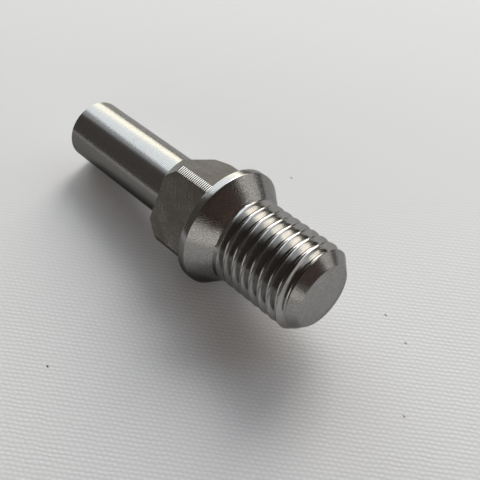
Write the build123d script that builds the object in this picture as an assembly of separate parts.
from build123d import *
from math import atan, ceil, cos, degrees, radians, sin, tan
import os

# An adapter stud, turned in one piece from bright stainless bar.  From one end to the
# other it has a plain round shank, a square section for a wrench, a thin flange rim, a
# seat cone and an M16 x 2 right-hand thread with a chamfered end.
# Millimetres.  The stud's axis is Z: the shank's end face is at z = 0 and the thread is
# on top.  Two of the wrench flats face +X and -X, the other two +Y and -Y.

# Lengths along the axis, from the shank's end to the thread's end
SHANK_LENGTH = 28.0
SQUARE_LENGTH = 10.7
RIM_LENGTH = 1.5
CONE_LENGTH = 3.15
THREAD_LENGTH = 18.35

# Shank
SHANK_D = 12.0
SHANK_EDGE = 0.3

# Square section: turned corners, four milled flats, corners chamfered towards the shank
SQUARE_CORNER_D = 19.5
SQUARE_ACROSS_FLATS = 14.8
SQUARE_END_D = 17.0
SQUARE_CHAMFER_ANGLE = 30.0

# Flange rim and seat cone
RIM_D = 22.2
RIM_EDGE = 0.12
CONE_FOOT_D = 17.0
CONE_FOOT_EDGE_ANGLE = 45.0

# Thread, ISO metric 60 degree form
THREAD_NOMINAL_D = 16.0
THREAD_CREST_D = 15.9
THREAD_PITCH = 2.0
FLANK_ANGLE = 30.0
PITCH_RADIUS = THREAD_NOMINAL_D / 2 - 0.32476 * THREAD_PITCH
ROOT_RADIUS = 0.1443 * THREAD_PITCH
THREAD_DEPTH = 0.61343 * THREAD_PITCH
END_FACE_D = 11.5
END_EDGE = 0.12

# The threading tool's path.  The groove's centre line passes +X at this height over the
# rim.  The groove has its full depth from RUN_OUT_ANGLE up, and below that it climbs out
# of the work in a part of a turn, which laps over the full depth by a few degrees.  The
# tool's outline stands clear past the crests.
FIRST_GROOVE_HEIGHT = 5.3
RUN_OUT_ANGLE = -180.0
RUN_OUT_TURN = 0.35
RUN_OUT_LAP = 3.0
TOOL_CLEARANCE = 0.15

# Stations along Z
SQUARE_Z = SHANK_LENGTH
RIM_Z = SQUARE_Z + SQUARE_LENGTH
CONE_Z = RIM_Z + RIM_LENGTH
CONE_FOOT_Z = CONE_Z + CONE_LENGTH
END_Z = CONE_FOOT_Z + THREAD_LENGTH
FULL_DEPTH_Z = CONE_Z + FIRST_GROOVE_HEIGHT + THREAD_PITCH * RUN_OUT_ANGLE / 360


def turned_blank():
    """The bar as it leaves the lathe, before the thread and the flats are cut."""
    shank_r = SHANK_D / 2
    corner_r = SQUARE_CORNER_D / 2
    square_end_r = SQUARE_END_D / 2
    rim_r = RIM_D / 2
    cone_foot_r = CONE_FOOT_D / 2
    crest_r = THREAD_CREST_D / 2
    end_r = END_FACE_D / 2
    corner_chamfer = (corner_r - square_end_r) / tan(radians(SQUARE_CHAMFER_ANGLE))
    neck_z = CONE_FOOT_Z + (cone_foot_r - crest_r) / tan(radians(CONE_FOOT_EDGE_ANGLE))
    end_chamfer = crest_r - end_r
    outline = Polyline(
        (0, 0),
        (shank_r - SHANK_EDGE, 0),
        (shank_r, SHANK_EDGE),
        (shank_r, SQUARE_Z),
        (square_end_r, SQUARE_Z),
        (corner_r, SQUARE_Z + corner_chamfer),
        (corner_r, RIM_Z),
        (rim_r - RIM_EDGE, RIM_Z),
        (rim_r, RIM_Z + RIM_EDGE),
        (rim_r, CONE_Z - RIM_EDGE),
        (rim_r - RIM_EDGE, CONE_Z),
        (cone_foot_r, CONE_FOOT_Z),
        (crest_r, neck_z),
        (crest_r, END_Z - end_chamfer),
        (end_r, END_Z - END_EDGE),
        (end_r - END_EDGE, END_Z),
        (0, END_Z),
        close=True,
    )
    return revolve(Plane.XZ * make_face(outline), Axis.Z)


def wrench_flats():
    """What the mill takes off round the square section: all outside the four flats."""
    stock = Box(RIM_D, RIM_D, SQUARE_LENGTH)
    kept = Box(SQUARE_ACROSS_FLATS, SQUARE_ACROSS_FLATS, SQUARE_LENGTH)
    return Pos(0, 0, SQUARE_Z + SQUARE_LENGTH / 2) * (stock - kept)


def tool_outline(path):
    """The threading tool square to its path: a V of 60 degrees with a round nose."""
    flank = tan(radians(FLANK_ANGLE))
    apex = -(THREAD_PITCH / 4) / flank
    mouth = THREAD_CREST_D / 2 + TOOL_CLEARANCE - PITCH_RADIUS
    mouth_half = (mouth - apex) * flank
    nose_centre = apex + ROOT_RADIUS / sin(radians(FLANK_ANGLE))
    nose_end = nose_centre - ROOT_RADIUS * sin(radians(FLANK_ANGLE))
    nose_half = (nose_end - apex) * flank
    walls = Polyline(
        (nose_end, -nose_half),
        (mouth, -mouth_half),
        (mouth, mouth_half),
        (nose_end, nose_half),
    )
    nose = ThreePointArc((nose_end, nose_half), (nose_centre - ROOT_RADIUS, 0), (nose_end, -nose_half))
    start = Plane(origin=path @ 0, x_dir=(1, 0, 0), z_dir=path % 0)
    return start * make_face(walls + nose)


def full_depth_turns():
    """The helical groove from where the run-out ends to past the end face, turn by turn."""
    path = Helix(THREAD_PITCH, THREAD_PITCH, PITCH_RADIUS)
    turn = Rot(0, 0, RUN_OUT_ANGLE) * sweep(tool_outline(path), path=path, is_frenet=True)
    count = ceil((END_Z - FULL_DEPTH_Z) / THREAD_PITCH) + 1
    return [Pos(0, 0, FULL_DEPTH_Z + THREAD_PITCH * i) * turn for i in range(count)]


def run_out_groove():
    """The last part of a turn, where the tool climbs out of the work on a cone."""
    height = THREAD_PITCH * RUN_OUT_TURN
    climb = THREAD_CREST_D / 2 - PITCH_RADIUS + THREAD_DEPTH
    slope = atan(climb / height)
    pitch_on_cone = THREAD_PITCH / cos(slope)
    path = Helix(pitch_on_cone, height, PITCH_RADIUS + climb, cone_angle=-degrees(slope))
    groove = sweep(tool_outline(path), path=path, is_frenet=True)
    start_angle = RUN_OUT_ANGLE + RUN_OUT_LAP - 360 * RUN_OUT_TURN
    start_z = FULL_DEPTH_Z + THREAD_PITCH * RUN_OUT_LAP / 360 - height
    return Pos(0, 0, start_z) * Rot(0, 0, start_angle) * groove


def stud():
    """The whole part.  The thread is cut one turn after another, which keeps each cut exact."""
    body = turned_blank() - wrench_flats() - run_out_groove()
    for turn in full_depth_turns():
        body = body - turn
    return body


os.makedirs("parts", exist_ok=True)
body = stud()
print("volume", body.volume, "solids", len(body.solids()), "valid", body.is_valid)
export_step(body, "parts/turned_stud.step")
